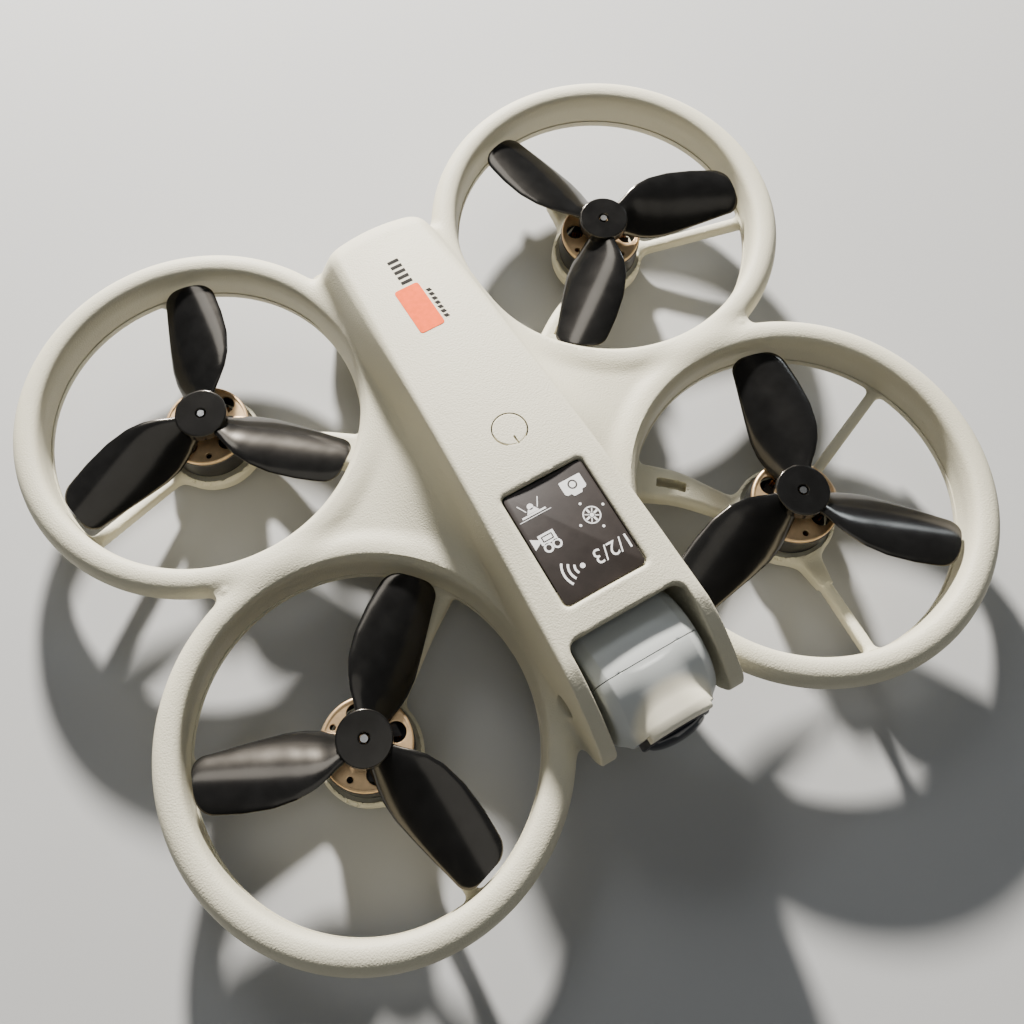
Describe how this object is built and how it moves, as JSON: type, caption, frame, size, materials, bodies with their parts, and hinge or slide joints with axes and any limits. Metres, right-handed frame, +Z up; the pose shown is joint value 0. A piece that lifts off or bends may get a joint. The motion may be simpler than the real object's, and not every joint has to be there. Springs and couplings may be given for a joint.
{
  "type": "fpv racing drone",
  "caption": "Palm-sized four-rotor FPV drone with round guard rings, a tilting nose camera, a roof power button and a battery that slides out of the tail.",
  "frame": {"origin": "on the ground under the midpoint of the four rotor axes", "axes": "+Z up, nose and camera towards -Y, +X to the drone's left (port) side"},
  "size_m": [0.1812, 0.1564, 0.042],
  "materials": {
    "shell_plastic": "warm light grey, fine moulded grain",
    "camera_plastic": "cool light grey, smooth satin",
    "panel_plastic": "dark brown-grey label with white icons",
    "prop_plastic": "polished black",
    "dark_plastic": "black satin",
    "motor_gold": "gold anodised, turned",
    "steel": "bright steel",
    "iron_stack": "laminated core with windings",
    "circuit_board": "green solder mask",
    "lens_glass": "coated dark glass",
    "rubber": "soft black",
    "lamp_red": "translucent red lamp"
  },
  "bodies": {
    "airframe": {"upper_shell": "shell_plastic", "lower_frame": "shell_plastic", "display_panel": "panel_plastic", "button_switch": "dark_plastic", "main_board": "circuit_board", "contact_block": "dark_plastic", "tilt_pin": "steel", "tilt_motor": "dark_plastic", "flow_sensor": "lens_glass", "tail_light": "lamp_red", "belly_screw_1": "steel", "belly_screw_2": "steel", "belly_screw_3": "steel", "belly_screw_4": "steel", "foot_front_left": "rubber", "motor_base_front_left": "dark_plastic", "motor_stator_front_left": "iron_stack", "foot_front_right": "rubber", "motor_base_front_right": "dark_plastic", "motor_stator_front_right": "iron_stack", "foot_rear_left": "rubber", "motor_base_rear_left": "dark_plastic", "motor_stator_rear_left": "iron_stack", "foot_rear_right": "rubber", "motor_base_rear_right": "dark_plastic", "motor_stator_rear_right": "iron_stack"},
    "power_button": {"power_button": "shell_plastic"},
    "battery": {"battery_pack": "dark_plastic"},
    "latch_left": {"battery_latch_left": "dark_plastic"},
    "latch_right": {"battery_latch_right": "dark_plastic"},
    "camera": {"camera_front_shell": "camera_plastic", "camera_rear_shell": "camera_plastic", "lens_barrel": "dark_plastic", "lens_glass": "lens_glass", "image_sensor_board": "circuit_board"},
    "rotor_front_left": {"motor_bell_front_left": "motor_gold", "motor_shaft_front_left": "steel", "propeller_front_left": "prop_plastic"},
    "rotor_front_right": {"motor_bell_front_right": "motor_gold", "motor_shaft_front_right": "steel", "propeller_front_right": "prop_plastic"},
    "rotor_rear_left": {"motor_bell_rear_left": "motor_gold", "motor_shaft_rear_left": "steel", "propeller_rear_left": "prop_plastic"},
    "rotor_rear_right": {"motor_bell_rear_right": "motor_gold", "motor_shaft_rear_right": "steel", "propeller_rear_right": "prop_plastic"}
  },
  "joints": [
    {"name": "prop_spin_front_left", "type": "hinge", "parent": "airframe", "child": "rotor_front_left", "pos_m": [0.05065, -0.03825, 0.02], "axis": [0, 0, 1], "continuous": true},
    {"name": "prop_spin_front_right", "type": "hinge", "parent": "airframe", "child": "rotor_front_right", "pos_m": [-0.05065, -0.03825, 0.02], "axis": [0, 0, 1], "continuous": true},
    {"name": "prop_spin_rear_left", "type": "hinge", "parent": "airframe", "child": "rotor_rear_left", "pos_m": [0.05065, 0.03825, 0.02], "axis": [0, 0, 1], "continuous": true},
    {"name": "prop_spin_rear_right", "type": "hinge", "parent": "airframe", "child": "rotor_rear_right", "pos_m": [-0.05065, 0.03825, 0.02], "axis": [0, 0, 1], "continuous": true},
    {"name": "camera_tilt", "type": "hinge", "parent": "airframe", "child": "camera", "pos_m": [0, -0.052, 0.026], "axis": [1, 0, 0], "range_deg": [-15, 90]},
    {"name": "power_press", "type": "slide", "parent": "airframe", "child": "power_button", "axis": [0, 0, -1], "range_m": [0, 0.0005], "stiffness_N_per_m": 2000, "springref_m": -0.0001},
    {"name": "battery_slide", "type": "slide", "parent": "airframe", "child": "battery", "axis": [0, 1, 0], "range_m": [0, 0.07]},
    {"name": "latch_squeeze_left", "type": "slide", "parent": "battery", "child": "latch_left", "axis": [-1, 0, 0], "range_m": [0, 0.0006], "stiffness_N_per_m": 1500, "springref_m": -0.0001},
    {"name": "latch_squeeze_right", "type": "slide", "parent": "battery", "child": "latch_right", "axis": [1, 0, 0], "range_m": [0, 0.0006], "stiffness_N_per_m": 1500, "springref_m": -0.0001}
  ]
}
